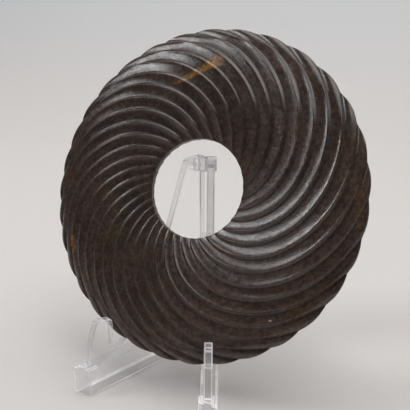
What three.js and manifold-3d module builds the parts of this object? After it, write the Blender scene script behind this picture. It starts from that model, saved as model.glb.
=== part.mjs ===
// A dark jade bi disc, carved on both faces with a whirl of rope flutes, leaning in a small folding
// easel made of two clear plates. Millimetres, +Z up, the disc's face towards -Y.
// The origin is the middle of the underside of the whole object's box.

import * as THREE from 'three';
import { mergeVertices } from 'three/addons/utils/BufferGeometryUtils.js';
import Module from 'manifold-3d';

// The disc: a ring of lens section, thickest at its crown and thin at the rim and at the hole.
const DISC_RADIUS = 60;
const HOLE_RADIUS = 18.05;
const HOLE_SHIFT = [-0.7, 1.15];   // the hole isn't quite in the middle: right and up on the disc's face
const CROWN_RADIUS = 44;
const CROWN_HALF = 5.4;
const HOLE_HALF = 1.2;
const RIM_HALF = 0.5;
const INNER_FALL = 2.6;            // power of the section's fall from the crown to the hole
const OUTER_FALL = 1.8;            // power of its fall from the crown to the rim

// The flutes: each runs from the hole to the rim and over it, always turning the same way round.
const FLUTES = 32;
const SWEEP_PITCHES = 7.625;           // pitches that a flute turns through on one face
const SWEEP_CURL = 0.212;          // share of the turn that is gathered towards the rim
const SWEEP_POWER = 3;
const START_ANGLE = THREE.MathUtils.degToRad(-21.9);
const SPACING_SWING = THREE.MathUtils.degToRad(5);
const SPACING_PHASE = THREE.MathUtils.degToRad(-20.3);
const STRAY = THREE.MathUtils.degToRad(12.7);          // the whirl's middle lies off the hole's
const STRAY_TOWARDS = THREE.MathUtils.degToRad(154.7);
const RELIEF = [                   // one flute across: part of the pitch, height off the section
  [0.0, -0.45],                    // groove
  [0.27, 0.45],                    // crest
  [0.45, 0.04],                    // the scoop's steep side
  [0.72, -0.32],                   // its floor
];
const RELIEF_AT_HOLE = 0.3;        // share of the relief that is left at the hole
const RELIEF_AT_RIM = 0.7;
const HOLE_FADE = 5;               // width over which the relief grows from the hole
const RIM_FADE = 6;
const FACE_STEPS = 12;

// How the disc sits in the easel.
const DISC_CENTRE = new THREE.Vector3(3.74, -20.35, 68.84);
const LEAN = THREE.MathUtils.degToRad(23.9);
const TURN = THREE.MathUtils.degToRad(-2.1);

// The easel: two upright plates that meet at a hinge at the back and open in a V to the front.
// Each plate is drawn from the side: s runs forward from the V's corner, z up.
const HALF_ANGLE = THREE.MathUtils.degToRad(22.6);
const PLATE = 2.8;
const FOOT_WIDTH = 6.3;
const FOOT_SIDE = 6;               // height of the bar's upright sides, below its sloping shoulders
const FOOT_SHOULDER = 11.5;        // where the shoulders run out into the plate
const FOOT_FRONT = 58.6;           // both feet end square to the front, this far from the V's corner
const FOOT_LENGTH = 68;            // the bar before that cut
const NOSE_HEIGHT = 10.6;          // the block that ends the bar at the front
const NOSE_BACK = 58.4;
const EASE = 0.5;                  // small cut along the foot's edges
const BACK_EDGE = 4.5;
const PLATE_TOP = 78.2;
const LEG_FOOT = [34.8, 22.6];     // where the leaning front edge meets the seat
const LEG_SLOPE = 0.3886;          // how far that edge runs back for each millimetre up
const SEAT_LOW = 14.6;             // bottom of the seat that the disc's rim lies in
const SEAT_BEND = 47.0;            // where the seat's slope ends
const HOOK_BACK = 50.2;
const HOOK_TOP_BACK = 26.2;
const HOOK_TOP_FRONT = [56.7, 27.3];
const HOOK_BEND = [58.9, 21.6];
const HOOK_FOOT_FRONT = 61.9;
const CORNER = 0.8;                // small corner cuts on the plate's outline
const BOSS_FRONT = 10.5;           // the thick hinge boss at the top of the back edge
const BOSS_WIDTH = 4.4;
const BOSS_LOW = [72.0, 73.8];
const PIP_HOLE = { s: 8.7, z: 75.3, radius: 0.8 };

// The hinge: knuckles on the line where the plates' inner faces meet.
const KNUCKLE_RADIUS = 1.9;
const CLEARANCE = 0.3;
const KNUCKLES = [
  { side: 'left', low: 42.0, high: 46.0 },
  { side: 'right', low: 37.7, high: 41.7 },
  { side: 'left', low: 17.6, high: 21.6 },
  { side: 'right', low: 13.3, high: 17.3 },
];

const JADE = new THREE.MeshStandardMaterial({ color: 0x33251f, roughness: 0.38, metalness: 0 });
const CLEAR = new THREE.MeshStandardMaterial({
  color: 0xe6e9ec, roughness: 0.08, metalness: 0, transparent: true, opacity: 0.3,
});

const wasm = await Module();
wasm.setup();

// ---- closed meshes to solids and back --------------------------------------------------------

function toSolid(geometry) {
  const bare = geometry.index ? geometry.toNonIndexed() : geometry.clone();
  bare.deleteAttribute('normal');
  bare.deleteAttribute('uv');
  const merged = mergeVertices(bare, 1e-4);
  return new wasm.Manifold(new wasm.Mesh({
    numProp: 3,
    vertProperties: new Float32Array(merged.attributes.position.array),
    triVerts: new Uint32Array(merged.index.array),
  }));
}

function toGeometry(solid) {
  const mesh = solid.getMesh();
  const geometry = new THREE.BufferGeometry();
  geometry.setAttribute('position', new THREE.BufferAttribute(new Float32Array(mesh.vertProperties), 3));
  geometry.setIndex(new THREE.BufferAttribute(new Uint32Array(mesh.triVerts), 1));
  geometry.computeVertexNormals();
  return geometry;
}

// ---- the disc ---------------------------------------------------------------------------------

// Half the ring's thickness at a distance from its axis.
function sectionHalf(radius) {
  if (radius < CROWN_RADIUS) {
    const t = (CROWN_RADIUS - radius) / (CROWN_RADIUS - HOLE_RADIUS);
    return CROWN_HALF - (CROWN_HALF - HOLE_HALF) * t ** INNER_FALL;
  }
  const t = (radius - CROWN_RADIUS) / (DISC_RADIUS - CROWN_RADIUS);
  return CROWN_HALF - (CROWN_HALF - RIM_HALF) * t ** OUTER_FALL;
}

// How far a flute has turned by the time it reaches a radius, from the hole outwards.
function sweep(radius) {
  const t = (radius - HOLE_RADIUS) / (DISC_RADIUS - HOLE_RADIUS);
  const share = (1 - SWEEP_CURL) * t + SWEEP_CURL * t ** SWEEP_POWER;
  return share * SWEEP_PITCHES * 2 * Math.PI / FLUTES;
}

// The angle at the hole of a place in the row of flutes; the hand-laid spacing isn't quite even.
function fluteAngle(place) {
  const even = place * 2 * Math.PI / FLUTES;
  return START_ANGLE + even + SPACING_SWING * Math.sin(even - SPACING_PHASE);
}

function reliefShare(radius) {
  const inner = THREE.MathUtils.smoothstep(radius, HOLE_RADIUS, HOLE_RADIUS + HOLE_FADE);
  const outer = THREE.MathUtils.smoothstep(radius, DISC_RADIUS - RIM_FADE, DISC_RADIUS);
  return THREE.MathUtils.lerp(RELIEF_AT_HOLE, 1, inner) * THREE.MathUtils.lerp(1, RELIEF_AT_RIM, outer);
}

// One ring of points round the disc at a radius, on the front face (side 1) or the back (side -1).
function ringPoints(radius, side) {
  const step = 0.05;
  const inside = Math.max(radius - step, HOLE_RADIUS);
  const outside = Math.min(radius + step, DISC_RADIUS);
  const rise = (sectionHalf(outside) - sectionHalf(inside)) / (outside - inside);
  const normal = new THREE.Vector2(-rise, 1).normalize();
  const turned = side > 0 ? sweep(radius) : 2 * sweep(DISC_RADIUS) - sweep(radius);
  const pull = (DISC_RADIUS - radius) / (DISC_RADIUS - HOLE_RADIUS);
  const points = [];
  for (let flute = 0; flute < FLUTES; flute += 1) {
    for (const [part, height] of RELIEF) {
      const straight = fluteAngle(flute + part) + turned;
      const angle = straight + STRAY * Math.cos(straight - STRAY_TOWARDS) * pull;
      const lift = height * reliefShare(radius);
      const reach = radius + normal.x * lift;
      points.push([
        reach * Math.cos(angle) + HOLE_SHIFT[0] * pull,
        reach * Math.sin(angle) + HOLE_SHIFT[1] * pull,
        side * (sectionHalf(radius) + normal.y * lift),
      ]);
    }
  }
  return points;
}

function discGeometry() {
  const radii = [];
  for (let i = 0; i <= FACE_STEPS; i += 1) {
    const share = (1 - Math.cos(Math.PI * i / FACE_STEPS)) / 2;
    radii.push(HOLE_RADIUS + (DISC_RADIUS - HOLE_RADIUS) * share);
  }
  const rings = [
    ...radii.map((radius) => ringPoints(radius, 1)),
    ...radii.slice().reverse().map((radius) => ringPoints(radius, -1)),
  ];
  const columns = FLUTES * RELIEF.length;
  const index = [];
  for (let ring = 0; ring < rings.length; ring += 1) {
    const last = ring === rings.length - 1;
    const next = last ? 0 : ring + 1;
    // Round the hole's wall the back ring is two sweeps further on than the front ring.
    const shift = last ? 2 * SWEEP_PITCHES * RELIEF.length : 0;
    for (let i = 0; i < columns; i += 1) {
      const j = (i + 1) % columns;
      const a = ring * columns + i;
      const b = ring * columns + j;
      const c = next * columns + (i + shift) % columns;
      const d = next * columns + (j + shift) % columns;
      index.push(a, c, b, b, c, d);
    }
  }
  const geometry = new THREE.BufferGeometry();
  geometry.setAttribute('position', new THREE.Float32BufferAttribute(rings.flat(2), 3));
  geometry.setIndex(index);
  geometry.computeVertexNormals();
  return geometry;
}

// ---- the easel's plates -----------------------------------------------------------------------

function outline(points) {
  return new THREE.Shape(points.map(([s, z]) => new THREE.Vector2(s, z)));
}

// A shape drawn in s and z, given a thickness about the plate's middle plane.
function slab(points, thickness) {
  const geometry = new THREE.ExtrudeGeometry(outline(points), { depth: thickness, bevelEnabled: false });
  geometry.rotateX(Math.PI / 2);
  geometry.translate(0, thickness / 2, 0);
  return toSolid(geometry);
}

function plateWeb() {
  const legTop = LEG_FOOT[0] - LEG_SLOPE * (PLATE_TOP - LEG_FOOT[1]);
  return slab([
    [BACK_EDGE, 0.4],
    [HOOK_FOOT_FRONT, 0.4],
    [HOOK_FOOT_FRONT, NOSE_HEIGHT - 0.4],
    HOOK_BEND,
    [HOOK_TOP_FRONT[0] + 0.3, HOOK_TOP_FRONT[1] - CORNER],
    [HOOK_TOP_FRONT[0] - CORNER, HOOK_TOP_FRONT[1]],
    [HOOK_BACK + CORNER, HOOK_TOP_BACK],
    [HOOK_BACK, HOOK_TOP_BACK - CORNER],
    [HOOK_BACK, SEAT_LOW + CORNER],
    [HOOK_BACK - CORNER, SEAT_LOW],
    [SEAT_BEND, SEAT_LOW],
    LEG_FOOT,
    [legTop + LEG_SLOPE * CORNER, PLATE_TOP - CORNER],
    [legTop - CORNER, PLATE_TOP],
    [BACK_EDGE, PLATE_TOP],
  ], PLATE);
}

// The foot is a bar along the plate's lower edge, with shoulders that slope in to the plate.
function footBar() {
  const half = FOOT_WIDTH / 2;
  const bar = new THREE.ExtrudeGeometry(outline([
    [-half + EASE, 0], [half - EASE, 0], [half, EASE], [half, FOOT_SIDE],
    [PLATE / 2, FOOT_SHOULDER], [-PLATE / 2, FOOT_SHOULDER], [-half, FOOT_SIDE], [-half, EASE],
  ]), { depth: FOOT_LENGTH - BACK_EDGE, bevelEnabled: false });
  bar.applyMatrix4(new THREE.Matrix4().makeBasis(
    new THREE.Vector3(0, 1, 0), new THREE.Vector3(0, 0, 1), new THREE.Vector3(1, 0, 0),
  ));
  bar.translate(BACK_EDGE, 0, 0);
  return toSolid(bar);
}

function noseBlock() {
  return slab([
    [NOSE_BACK, EASE], [NOSE_BACK + EASE, 0], [FOOT_LENGTH, 0],
    [FOOT_LENGTH, NOSE_HEIGHT], [NOSE_BACK, NOSE_HEIGHT],
  ], FOOT_WIDTH);
}

function hingeBoss() {
  return slab([
    [BACK_EDGE, BOSS_LOW[0]], [BOSS_FRONT, BOSS_LOW[1]], [BOSS_FRONT, PLATE_TOP], [BACK_EDGE, PLATE_TOP],
  ], BOSS_WIDTH);
}

// Everything past the middle plane of the V belongs to the other plate.
function beyondMiddle(inner) {
  const reach = 120;
  const box = new THREE.BoxGeometry(reach, reach, reach);
  box.translate(0, inner * (reach / 2 - CLEARANCE / 2), PLATE_TOP / 2);
  box.rotateZ(inner * HALF_ANGLE);
  return toSolid(box);
}

// The front of the feet lies square across, whichever way the plate runs.
function beyondFront(inner) {
  const reach = 60;
  const box = new THREE.BoxGeometry(reach, reach, reach);
  box.translate(FOOT_FRONT + reach / 2, 0, 0);
  box.rotateZ(inner * HALF_ANGLE);
  return toSolid(box);
}

function knuckle({ low, high }, inner, radius, spare) {
  const height = high - low + 2 * spare;
  const barrel = new THREE.CylinderGeometry(radius, radius, height, 20);
  barrel.rotateX(Math.PI / 2);
  barrel.translate(PLATE / 2 / Math.tan(HALF_ANGLE), inner * PLATE / 2, (low + high) / 2);
  return toSolid(barrel);
}

function pipHole() {
  const drill = new THREE.CylinderGeometry(PIP_HOLE.radius, PIP_HOLE.radius, BOSS_WIDTH * 2, 12);
  drill.translate(PIP_HOLE.s, 0, PIP_HOLE.z);
  return toSolid(drill);
}

// inner is 1 where the plate's inner face is on its own +Y side, as on the left plate, and -1 if not.
function plateGeometry(side) {
  const inner = side === 'left' ? 1 : -1;
  let solid = plateWeb().add(footBar()).add(noseBlock()).add(hingeBoss());
  solid = solid.subtract(beyondMiddle(inner)).subtract(beyondFront(inner));
  for (const part of KNUCKLES) {
    if (part.side === side) {
      solid = solid.add(knuckle(part, inner, KNUCKLE_RADIUS, 0));
    } else {
      solid = solid.subtract(knuckle(part, inner, KNUCKLE_RADIUS + CLEARANCE, CLEARANCE));
    }
  }
  return toGeometry(solid.subtract(pipHole()));
}

// ---- the object -------------------------------------------------------------------------------

const stand = new THREE.Group();

const disc = new THREE.Mesh(discGeometry(), JADE);
disc.name = 'jade_bi_disc';
disc.rotation.x = Math.PI / 2 - LEAN;
const discPlace = new THREE.Group();
discPlace.position.copy(DISC_CENTRE);
discPlace.rotation.z = TURN;
discPlace.add(disc);
stand.add(discPlace);

for (const side of ['left', 'right']) {
  const plate = new THREE.Mesh(plateGeometry(side), CLEAR.clone());
  plate.name = `easel_${side}_plate`;
  plate.rotation.z = -Math.PI / 2 + (side === 'left' ? -HALF_ANGLE : HALF_ANGLE);
  stand.add(plate);
}

stand.updateMatrixWorld(true);
const box = new THREE.Box3().setFromObject(stand, true);
const middle = box.getCenter(new THREE.Vector3());
stand.position.set(-middle.x, -middle.y, -box.min.z);

const object = new THREE.Group();
object.add(stand);

export default object;
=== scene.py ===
"""A dark jade bi disc, carved all over with a whirl of rope flutes, in a clear folding easel.

Metres, +Z up, the disc's face towards -Y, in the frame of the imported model.
"""

import math

import bpy
import numpy as np
from mathutils import Matrix, Vector


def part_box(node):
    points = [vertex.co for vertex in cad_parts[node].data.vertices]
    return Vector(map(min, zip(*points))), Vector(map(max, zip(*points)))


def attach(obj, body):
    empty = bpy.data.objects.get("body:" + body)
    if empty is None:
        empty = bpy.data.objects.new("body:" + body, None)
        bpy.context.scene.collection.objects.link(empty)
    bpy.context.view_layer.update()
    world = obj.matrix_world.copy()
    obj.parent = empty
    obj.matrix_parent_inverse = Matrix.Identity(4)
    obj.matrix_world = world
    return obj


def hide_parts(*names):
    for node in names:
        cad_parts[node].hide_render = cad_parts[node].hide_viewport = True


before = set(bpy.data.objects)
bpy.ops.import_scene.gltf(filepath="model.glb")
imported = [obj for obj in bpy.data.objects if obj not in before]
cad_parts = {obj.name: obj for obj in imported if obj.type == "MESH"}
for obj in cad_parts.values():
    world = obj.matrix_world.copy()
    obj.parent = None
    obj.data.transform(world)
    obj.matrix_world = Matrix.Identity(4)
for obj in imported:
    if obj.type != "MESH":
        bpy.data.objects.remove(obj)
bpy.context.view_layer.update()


# ==== The camera ====
# A camera with a long lens on a stand, a little to the right of the disc and above it, looking down
# at a point just below the middle of the hole.

disc_low, disc_high = (Vector(corner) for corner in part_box("jade_bi_disc"))
CENTRE_IN_BOX = Vector((0.00009, -0.00006, -0.00004))
disc_centre = (disc_low + disc_high) / 2 + CENTRE_IN_BOX

CAMERA_AZIMUTH = math.radians(24.0)
CAMERA_HEIGHT = math.radians(19.0)
CAMERA_DISTANCE = 0.2124
CAMERA_LENS = 51.98
SIGHT_FROM_CENTRE = Vector((0.0029, -0.0005, -0.0044))
sight = disc_centre + SIGHT_FROM_CENTRE
towards_camera = Vector((
    math.sin(CAMERA_AZIMUTH) * math.cos(CAMERA_HEIGHT),
    -math.cos(CAMERA_AZIMUTH) * math.cos(CAMERA_HEIGHT),
    math.sin(CAMERA_HEIGHT),
))
bpy.ops.object.camera_add(
    location=sight + towards_camera * CAMERA_DISTANCE,
    rotation=(math.pi / 2 - CAMERA_HEIGHT, 0, CAMERA_AZIMUTH),
)
camera = bpy.context.object
camera.name = "camera"
camera.data.sensor_width = 36
camera.data.lens = CAMERA_LENS
camera.data.clip_start = 0.01
bpy.context.scene.camera = camera


# ==== The disc ====
# One piece of very dark brown jade, ground to a lens section with a round hole. Thirty-two rope
# flutes are cut by hand from the hole to the rim and on over the back, then polished to a satin.

DISC_RADIUS = 0.060
HOLE_RADIUS = 0.01805
REACH = DISC_RADIUS - HOLE_RADIUS
HOLE_SHIFT = (-0.0007, 0.00115)
CROWN_RADIUS = 0.044
CROWN_HALF = 0.0054
HOLE_HALF = 0.0012
RIM_HALF = 0.0005
LEAN = math.radians(23.9)
TURN = math.radians(-2.1)
FLUTES = 32
SWEEP = 7.625 * 2 * math.pi / FLUTES
SWEEP_CURL = 0.212
START_ANGLE = math.radians(-21.9)
# The flutes are not evenly spaced, and the whirl's middle lies a little off the disc's.
SPACING_SWING = math.radians(5)
SPACING_PHASE = math.radians(20.3)
STRAY = math.radians(12.7)
STRAY_TOWARDS = math.radians(154.7)

# One flute across, from groove to groove: part of its width, and height in millimetres.
# The cut has left a hollow between sharp crests, and near the rim each flute is rounded over.
CUT_ACROSS = (0, .04, .08, .12, .16, .20, .235, .255, .27, .285, .31, .35,
              .40, .46, .53, .61, .70, .80, .90, 1)
CUT_HEIGHT = (-.45, -.41, -.33, -.19, 0, .20, .37, .445, .46, .43, .35, .23,
              .11, .00, -.11, -.21, -.30, -.37, -.42, -.45)
CUT_DEPTH = 0.8
ROUND_DEPTH = 0.95
ROUND_FROM = 0.053
ROUND_WHOLE = 0.0595
RIM_PROUD = 0.00008

# The mesh: its lines along each flute, closest at the crest, and its rows from the hole to the
# rim, over the rim, back to the hole and down the hole's wall.
COLUMN_PLACES = (0, .05, .095, .135, .17, .20, .225, .245, .26, .272, .285, .30,
                 .325, .355, .39, .43, .475, .525, .58, .64, .705, .775, .85, .925)
COLUMNS = FLUTES * len(COLUMN_PLACES)
FRONT_ROWS = 62
RIM_ROWS = 2
BACK_ROWS = 42
WALL_ROWS = 3
FACE_ROWS = FRONT_ROWS + RIM_ROWS + BACK_ROWS
ROWS = FACE_ROWS + WALL_ROWS

bpy.ops.object.select_all(action="DESELECT")
bpy.ops.mesh.primitive_grid_add(x_subdivisions=COLUMNS, y_subdivisions=ROWS - 1, size=2)
disc = bpy.context.object
disc.name = "carved_disc"


def section_half(radius):
    """Half the disc's thickness, thickest at the crown and thin at the hole and the rim."""
    inner = np.clip((CROWN_RADIUS - radius) / (CROWN_RADIUS - HOLE_RADIUS), 0, 1)
    outer = np.clip((radius - CROWN_RADIUS) / (DISC_RADIUS - CROWN_RADIUS), 0, 1)
    falls_in = (CROWN_HALF - HOLE_HALF) * inner ** 2.6
    falls_out = (CROWN_HALF - RIM_HALF) * outer ** 1.8
    return CROWN_HALF - falls_in - falls_out


def sweep_at(radius):
    """How far round the disc a flute has turned at this radius."""
    out = np.clip((radius - HOLE_RADIUS) / REACH, 0, 1)
    return SWEEP * ((1 - SWEEP_CURL) * out + SWEEP_CURL * out ** 3)


def smooth(value, low, high):
    """0 below low, 1 above high, and an even rise between them."""
    share = np.clip((value - low) / (high - low), 0, 1)
    return share * share * (3 - 2 * share)


# The grid's columns run along the flutes, and its rows lie round the disc.
count = len(disc.data.vertices)
flat_grid = np.empty(count * 3)
disc.data.vertices.foreach_get("co", flat_grid)
flat_grid = flat_grid.reshape(-1, 3)
column = np.rint((flat_grid[:, 0] + 1) / 2 * COLUMNS).astype(int)
row = np.rint((flat_grid[:, 1] + 1) / 2 * (ROWS - 1)).astype(int)
within = np.append(np.array(COLUMN_PLACES), 1.0)
flute = np.minimum(column // len(COLUMN_PLACES), FLUTES - 1)
across = within[column - flute * len(COLUMN_PLACES)]



def steps_out(rows):
    """Radii from the hole to the rim, closer together near both."""
    step = (1 - np.cos(np.linspace(0.02, 1, rows) * math.pi)) / 2
    return HOLE_RADIUS + REACH * ((step - step[0]) / (step[-1] - step[0]))


row_radius = np.concatenate([
    steps_out(FRONT_ROWS),
    np.full(RIM_ROWS, DISC_RADIUS + RIM_PROUD),
    steps_out(BACK_ROWS)[::-1],
    np.full(WALL_ROWS, HOLE_RADIUS),
])
# 1 on the front face, -1 on the back, and between them on the rim and on the hole's wall.
row_side = np.concatenate([
    np.ones(FRONT_ROWS), np.linspace(0.5, -0.5, RIM_ROWS), -np.ones(BACK_ROWS),
    np.linspace(-0.9, -0.3, WALL_ROWS),
])
radius = row_radius[row]
side = row_side[row]
on_wall = row >= FACE_ROWS
on_rim = (row >= FRONT_ROWS) & (row < FRONT_ROWS + RIM_ROWS)
at_front = side > -0.6

# Hand work: each flute has its own depth and wanders a little on its way to the rim.
hand = np.random.default_rng(31)
flute_depth = hand.uniform(0.84, 1.14, FLUTES)
flute_lift = hand.uniform(-0.05, 0.05, FLUTES)
flute_shift = hand.uniform(-0.035, 0.035, FLUTES)
wander_phase = hand.uniform(0, 2 * math.pi, (FLUTES + 1, 2))
wander_phase[FLUTES] = wander_phase[0]
depth_here = np.append(flute_depth, flute_depth[0])
depth = depth_here[flute] * (1 - across) + depth_here[flute + 1] * across
lift_here = flute_lift[flute] * np.sin(math.pi * across) ** 2


def wander(which, distance):
    first = np.sin(distance * 330 + wander_phase[which, 0])
    second = np.sin(distance * 140 + wander_phase[which, 1])
    return math.radians(0.22) * first + math.radians(0.30) * second


place = flute + across
even = place * 2 * math.pi / FLUTES
spaced = START_ANGLE + even + SPACING_SWING * np.sin(even + SPACING_PHASE)
spaced += wander(flute, radius) * (1 - across) + wander(flute + 1, radius) * across
turned = np.where(at_front, sweep_at(radius), 2 * SWEEP - sweep_at(radius))
turned = np.where(on_wall, 2 * SWEEP, turned)
straight = spaced + turned
pull = np.clip((DISC_RADIUS - radius) / REACH, 0, 1)
angle = straight + STRAY * np.cos(straight - STRAY_TOWARDS) * pull

shifted = np.clip(across + flute_shift[flute] * np.sin(math.pi * across) ** 2, 0, 1)
hollow = np.interp(shifted, CUT_ACROSS, CUT_HEIGHT) * CUT_DEPTH
rounded = ROUND_DEPTH * np.abs(np.sin(math.pi * (shifted - 0.06))) ** 0.6 - 0.60
over_rim = smooth(radius, ROUND_FROM, ROUND_WHOLE)
height = ((hollow * (1 - over_rim) + rounded * over_rim) * depth + lift_here) / 1000
# The cuts run out as they come to the hole, and its wall is plain.
strength = 0.3 + 0.7 * smooth(radius, HOLE_RADIUS, HOLE_RADIUS + 0.005)
height = height * np.where(on_wall, 0, strength)

# The relief stands square to the lens-shaped section.
step = 0.00005
low = np.maximum(radius - step, HOLE_RADIUS)
high = np.minimum(radius + step, DISC_RADIUS)
rise = (section_half(high) - section_half(low)) / (high - low)
length = np.sqrt(1 + rise ** 2)
out_share = np.where(on_rim, 1.0, -rise / length)
up_share = np.where(on_rim, 0.0, 1 / length)
distance = radius + out_share * height
thickness = section_half(np.minimum(radius, DISC_RADIUS))
level = np.where(
    on_wall,
    np.interp(row, [FACE_ROWS - 1, ROWS], [-HOLE_HALF, HOLE_HALF]),
    np.where(on_rim, side * thickness, np.sign(side) * (thickness + up_share * height)),
)
flat = np.stack([
    distance * np.cos(angle) + HOLE_SHIFT[0] * pull,
    distance * np.sin(angle) + HOLE_SHIFT[1] * pull,
    level,
], axis=1)

# What the stone's finish needs to know of each point: where it is on the flat disc, its place
# along and across the strands, and how high it is between groove and crest. A strand's length
# runs on from the front to the back.
BACK_RUNS_FROM = 0.13
strand = np.stack([
    DISC_RADIUS * np.cos(even),
    DISC_RADIUS * np.sin(even),
    np.where(at_front, radius, BACK_RUNS_FROM - radius),
], axis=1)
relief = np.clip(height * 1000 + 0.5, 0, 1)

stand_up = Matrix.Rotation(TURN, 4, "Z") @ Matrix.Rotation(math.pi / 2 - LEAN, 4, "X")
turn_matrix = np.array(stand_up.to_3x3())
world = flat @ turn_matrix.T + np.array(disc_centre)
disc.data.vertices.foreach_set("co", world.ravel())
for name, values in (("face_place", flat), ("strand", strand)):
    layer = disc.data.attributes.new(name, "FLOAT_VECTOR", "POINT")
    layer.data.foreach_set("vector", values.astype(np.float32).ravel())
layer = disc.data.attributes.new("relief", "FLOAT", "POINT")
layer.data.foreach_set("value", relief.astype(np.float32))

# The two long edges of the sheet meet, and the hole's wall is joined to the front edge of the hole.
bpy.ops.object.mode_set(mode="EDIT")
bpy.ops.mesh.select_all(action="SELECT")
bpy.ops.mesh.remove_doubles(threshold=0.000002)
bpy.ops.mesh.select_all(action="DESELECT")
bpy.ops.mesh.select_mode(type="EDGE")
bpy.ops.mesh.select_non_manifold(extend=False)
bpy.ops.mesh.bridge_edge_loops()
bpy.ops.mesh.select_all(action="SELECT")
bpy.ops.mesh.normals_make_consistent(inside=False)
bpy.ops.object.mode_set(mode="OBJECT")
bpy.ops.object.shade_smooth()


class Value:
    """A socket of a node tree, used in sums as a number is. One without a socket starts a tree."""

    def __init__(self, tree, socket):
        self.tree, self.socket = tree, socket

    def node(self, kind, settings, sockets, output=0):
        made = self.tree.nodes.new(kind)
        for name, setting in settings.items():
            setattr(made, name, setting)
        for name, given in sockets.items():
            if isinstance(given, Value):
                self.tree.links.new(given.socket, made.inputs[name])
            else:
                made.inputs[name].default_value = given
        return Value(self.tree, made.outputs[output])

    def sum(self, operation, *terms):
        return self.node("ShaderNodeMath", {"operation": operation}, dict(enumerate(terms)))

    def __add__(self, other):
        return self.sum("ADD", self, other)

    def __radd__(self, other):
        return self.sum("ADD", other, self)

    def __sub__(self, other):
        return self.sum("SUBTRACT", self, other)

    def __rsub__(self, other):
        return self.sum("SUBTRACT", other, self)

    def __mul__(self, other):
        return self.sum("MULTIPLY", self, other)

    def __rmul__(self, other):
        return self.sum("MULTIPLY", other, self)

    def between(self, low, high):
        """0 below low, 1 above high, and an even rise between them."""
        return self.node("ShaderNodeMapRange", {"interpolation_type": "SMOOTHSTEP"},
                         {"Value": self, "From Min": low, "From Max": high})

    def blend(self, first, second):
        """first where this value is 0, second where it is 1."""
        return self.node("ShaderNodeMix", {"data_type": "RGBA"},
                         {"Factor": self, 6: first, 7: second}, 2)

    def scaled(self, *factors):
        return self.node("ShaderNodeVectorMath", {"operation": "MULTIPLY"}, {0: self, 1: factors})

    def noise(self, scale, detail, roughness):
        return self.node("ShaderNodeTexNoise", {}, {
            "Vector": self, "Scale": scale, "Detail": detail, "Roughness": roughness})

    def into(self, shader, socket_name):
        self.tree.links.new(self.socket, shader.inputs[socket_name])


def new_finish(name):
    """A material, with its shader and the start of its tree."""
    finish = bpy.data.materials.new(name)
    finish.use_nodes = True
    return finish, finish.node_tree.nodes["Principled BSDF"], Value(finish.node_tree, None)


# Spots where the stone's skin shows: place on the disc, half length and half width, turn in
# degrees, raggedness, strength and colour.
SKIN_SPOTS = (
    ((-0.0066, 0.0421), (0.0098, 0.0014), 30, 0.9, 0.95, (0.37, 0.190, 0.048, 1)),
    ((-0.0004, 0.0460), (0.0044, 0.0026), 28, 0.8, 0.95, (0.37, 0.190, 0.048, 1)),
    ((-0.0472, -0.0270), (0.0040, 0.0014), 104, 0.8, 0.9, (0.27, 0.135, 0.038, 1)),
    ((-0.0562, -0.0012), (0.0035, 0.0012), 75, 1.0, 0.6, (0.130, 0.056, 0.028, 1)),
    ((-0.0394, -0.0382), (0.0034, 0.0018), 60, 1.0, 0.5, (0.130, 0.056, 0.028, 1)),
    ((-0.0286, -0.0196), (0.0055, 0.0030), 35, 1.2, 0.5, (0.085, 0.070, 0.030, 1)),
    ((0.0356, -0.0384), (0.0005, 0.0004), 0, 0.2, 1.0, (0.45, 0.43, 0.40, 1)),
    ((0.0572, 0.0050), (0.0090, 0.0018), 95, 1.2, 0.6, (0.130, 0.072, 0.036, 1)),
    ((-0.0240, 0.0530), (0.0120, 0.0030), 18, 1.4, 0.5, (0.118, 0.068, 0.038, 1)),
    ((0.0440, -0.0330), (0.0050, 0.0016), 40, 1.3, 0.5, (0.132, 0.068, 0.032, 1)),
)
jade, shader, tree = new_finish("dark_jade")
shader.inputs["IOR"].default_value = 1.56
face = tree.node("ShaderNodeAttribute", {"attribute_name": "face_place"}, {}, 1)
along_strand = tree.node("ShaderNodeAttribute", {"attribute_name": "strand"}, {}, 1)
carved = tree.node("ShaderNodeAttribute", {"attribute_name": "relief"}, {}, 2)
groove = 1 - carved.between(0.0, 0.35)
crest = carved.between(0.60, 0.92)
edge_of_crest = carved.between(0.82, 0.95)

# The stone's own colour: very dark brown with clouds of red-brown, olive and purplish brown; the
# grooves then get painted shade.
clouds = face.noise(60, 4, 0.55).between(0.34, 0.66)
veins = face.scaled(1, 1, 0.4).noise(130, 5, 0.6).between(0.52, 0.74)
olive = face.scaled(1, 1.3, 1).noise(85, 3, 0.5).between(0.54, 0.72)
plum = face.scaled(1.2, 1, 1).noise(48, 3, 0.5).between(0.50, 0.70)
streaks = along_strand.scaled(1, 1, 0.10).noise(900, 4, 0.6).between(0.44, 0.74)
colour = clouds.blend((0.0540, 0.0330, 0.0245, 1), (0.102, 0.0640, 0.0490, 1))
colour = (veins * 0.6).blend(colour, (0.086, 0.042, 0.025, 1))
colour = (olive * 0.4).blend(colour, (0.034, 0.030, 0.014, 1))
colour = (plum * 0.4).blend(colour, (0.034, 0.018, 0.024, 1))
colour = (streaks * 0.35).blend(colour, (0.100, 0.074, 0.062, 1))
# Painted shade: the grooves are darkened towards near black, where shade falls in them.
colour = (groove * 0.45).blend(colour, (0.007, 0.0045, 0.004, 1))


# Each spot is a ragged lozenge on the front face, which fades before it comes to the back.
SPOT_LEVEL = 0.003
SPOT_DEPTH = 0.0055
for middle, size, turn, raggedness, strength, tint in SKIN_SPOTS:
    from_spot = tree.node("ShaderNodeMapping", {"vector_type": "TEXTURE"}, {
        "Vector": face, "Location": (*middle, SPOT_LEVEL),
        "Rotation": (0, 0, math.radians(turn)), "Scale": (*size, SPOT_DEPTH)})
    away = tree.node("ShaderNodeVectorMath", {"operation": "LENGTH"}, {0: from_spot}, 1)
    away = away + (face.noise(420, 4, 0.6) - 0.5) * raggedness
    spot = (1 - away.between(0.75, 1.15)) * strength
    colour = spot.blend(colour, tint)
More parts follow.
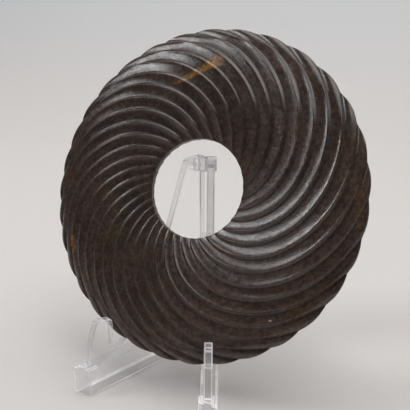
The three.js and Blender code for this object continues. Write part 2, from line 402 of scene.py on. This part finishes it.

# Fine dark grain all over, and a painted highlight along the crests, broken up by a noise along the
# strands.
wear = along_strand.scaled(1, 1, 0.16).noise(1500, 4, 0.65)
grain = face.noise(780, 4, 0.75).between(0.42, 0.60)
colour = ((1 - grain) * 0.62).blend(colour, (0.0140, 0.0080, 0.0058, 1))
# Painted highlight: the crest edges are made pale grey, as the gloss on them would show.
painted_crest_highlight = edge_of_crest * wear.between(0.36, 0.58) * 0.50
colour = painted_crest_highlight.blend(colour, (0.24, 0.21, 0.205, 1))
colour.into(shader, "Base Color")

# A satin polish, brightest on the crests and dull in the grooves.
polish = face.noise(420, 4, 0.65).between(0.38, 0.62)
roughness = 0.075 + wear * 0.14 + polish * 0.13 + groove * 0.16 - crest * 0.05
roughness.into(shader, "Roughness")

# Scratches that follow the strands, and small pits.
scratches = along_strand.scaled(1, 1, 0.07).noise(2600, 3, 0.7)
pits = face.noise(1900, 2, 0.5).between(0.30, 0.52)
bump = tree.node("ShaderNodeBump", {}, {
    "Strength": 0.17, "Distance": 0.0004, "Height": scratches * 0.6 + pits * 0.4})
bump.into(shader, "Normal")
disc.data.materials.append(jade)

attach(disc, "root")
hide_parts("jade_bi_disc")


# ==== The easel ====
# Two clear moulded plates that open into a V on knuckles at the back. Each has a square foot bar,
# a hooked seat for the rim and a leaning edge for the disc's back, and its edges are a little
# rounded.

EDGE_ROUNDING = 0.0004
FACE, SIDE, CORNER = 0, 1, 2

# A plate's two broad faces are all but invisible, and its narrow sides and corners catch the light
# and
# carry a painted glow: darkest and palest tint, share let through, how much it shows, glow and
# smudging.
finishes = []
for finish_name, deep, light, passes, shows, painted_glow_strength, smudge in (
    ("clear_face", (0.93, 0.92, 0.95, 1), (0.98, 0.98, 0.99, 1), 1.0, 0.05, 0.0, 0.05),
    ("clear_side", (0.52, 0.47, 0.55, 1), (0.97, 0.97, 0.99, 1), 0.3, 0.30, 0.12, 0.08),
    ("clear_corner", (0.60, 0.57, 0.63, 1), (1.0, 1.0, 1.0, 1), 0.0, 0.66, 0.30, 0.10),
):
    clear, shader, tree = new_finish(finish_name)
    shader.inputs["Transmission Weight"].default_value = passes
    shader.inputs["Alpha"].default_value = shows
    shader.inputs["IOR"].default_value = 1.49
    moulding = tree.node("ShaderNodeTexCoord", {}, {}, 3)
    streaks = moulding.scaled(1, 1, 0.35).noise(75, 2, 0.5).between(0.42, 0.60)
    above_floor = tree.node("ShaderNodeSeparateXYZ", {}, {"Vector": moulding}, 2)
    # A painted glow: the tint turns paler and the plastic glows in streaks and most of all near the
    # foot, though it is no lamp.
    painted_glow = streaks * 0.55 + (1 - above_floor.between(0.008, 0.022)) * 0.45
    painted_glow.blend(deep, light).into(shader, "Base Color")
    painted_glow.blend((0, 0, 0, 1), (1, 1, 1, 1)).into(shader, "Emission Color")
    shader.inputs["Emission Strength"].default_value = painted_glow_strength
    smears = moulding.noise(220, 3, 0.6)
    (smears * smudge + 0.01).into(shader, "Roughness")
    finishes.append(clear)

for node_name, piece_name in (
    ("easel_left_plate", "clear_plate_left"),
    ("easel_right_plate", "clear_plate_right"),
):
    bpy.ops.object.select_all(action="DESELECT")
    cad_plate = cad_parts[node_name]
    cad_plate.select_set(True)
    bpy.context.view_layer.objects.active = cad_plate
    bpy.ops.object.duplicate()
    plate = bpy.context.object
    plate.name = piece_name
    bpy.ops.object.mode_set(mode="EDIT")
    bpy.ops.mesh.select_all(action="SELECT")
    bpy.ops.mesh.remove_doubles(threshold=0.00001)
    bpy.ops.mesh.dissolve_limited(angle_limit=math.radians(1))
    bpy.ops.object.mode_set(mode="OBJECT")
    plate.data.materials.clear()
    for finish in finishes:
        plate.data.materials.append(finish)
    broad = max(plate.data.polygons, key=lambda flat_face: flat_face.area).normal.copy()
    for flat_face in plate.data.polygons:
        lies_broad = abs(flat_face.normal.dot(broad)) > 0.99
        flat_face.material_index = FACE if lies_broad else SIDE
    rounding = plate.modifiers.new("rounded edges", "BEVEL")
    rounding.width = EDGE_ROUNDING
    rounding.use_clamp_overlap = False
    rounding.segments = 3
    rounding.limit_method = "ANGLE"
    rounding.angle_limit = math.radians(30)
    rounding.material = CORNER
    bpy.ops.object.modifier_apply(modifier=rounding.name)
    # Where short edges meet, the rounding must not push a corner past the plate's own box.
    plate_low, plate_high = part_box(node_name)
    for vertex in plate.data.vertices:
        vertex.co = [min(max(value, low), high)
                     for value, low, high in zip(vertex.co, plate_low, plate_high)]
    bpy.ops.object.shade_smooth_by_angle(angle=math.radians(25))
    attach(plate, "root")
    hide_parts(node_name)


# ==== The floor and the light ====
# A sheet of pale paper that lies flat under the easel and rises behind it, one broad soft light
# overhead, and a small bright one at the upper left whose gleam runs along the crests. The room
# all round looks pale but throws little light.

bpy.ops.object.select_all(action="DESELECT")
bpy.ops.mesh.primitive_grid_add(x_subdivisions=2, y_subdivisions=60, size=1)
paper = bpy.context.object
paper.name = "paper_sweep"
PAPER_WIDTH = 4.0
PAPER_LENGTH = 2.0
PAPER_FRONT = -0.3
BEND_START = 0.25
BEND_RADIUS = 0.35
for vertex in paper.data.vertices:
    along = (vertex.co.y + 0.5) * PAPER_LENGTH + PAPER_FRONT
    bend = min(max(along - BEND_START, 0) / BEND_RADIUS, math.pi / 2)
    upright = max(along - BEND_START - BEND_RADIUS * math.pi / 2, 0)
    vertex.co = Vector((
        vertex.co.x * PAPER_WIDTH,
        min(along, BEND_START) + BEND_RADIUS * math.sin(bend),
        BEND_RADIUS * (1 - math.cos(bend)) + upright,
    ))
bpy.ops.object.shade_smooth()
pale_paper, shader, tree = new_finish("pale_paper")
shader.inputs["Roughness"].default_value = 0.9
on_paper = tree.node("ShaderNodeTexCoord", {}, {}, 3)
risen = tree.node("ShaderNodeSeparateXYZ", {}, {"Vector": on_paper}, 2)
paper_colour = risen.between(0.0, 0.2).blend((0.70, 0.67, 0.65, 1), (0.70, 0.72, 0.74, 1))
paper_colour.into(shader, "Base Color")
paper.data.materials.append(pale_paper)

LIT_POINT = Vector((0, 0, 0.05))
for light_name, place, size, power, tint in (
    ("window", (-0.72, -0.33, 0.72), 0.27, 3.4, (0.97, 0.985, 1.0)),
    ("ceiling", (0.30, 0.45, 1.10), 1.7, 24.5, (1.0, 0.99, 0.98)),
):
    bpy.ops.object.light_add(type="AREA", location=place)
    light = bpy.context.object
    light.name = light_name
    light.data.size = size
    light.data.energy = power
    light.data.color = tint
    towards = LIT_POINT - light.location
    light.rotation_euler = towards.to_track_quat("-Z", "Y").to_euler()

room = bpy.data.worlds.new("pale room")
bpy.context.scene.world = room
room.use_nodes = True
tree = Value(room.node_tree, None)
seen = tree.node("ShaderNodeLightPath", {}, {}, 0)
seen_through = tree.node("ShaderNodeLightPath", {}, {}, 6)
room_colour = (seen + seen_through).blend((0.085, 0.085, 0.09, 1), (0.58, 0.60, 0.62, 1))
room_colour.into(room.node_tree.nodes["Background"], "Color")
bpy.context.scene.view_settings.view_transform = "Standard"
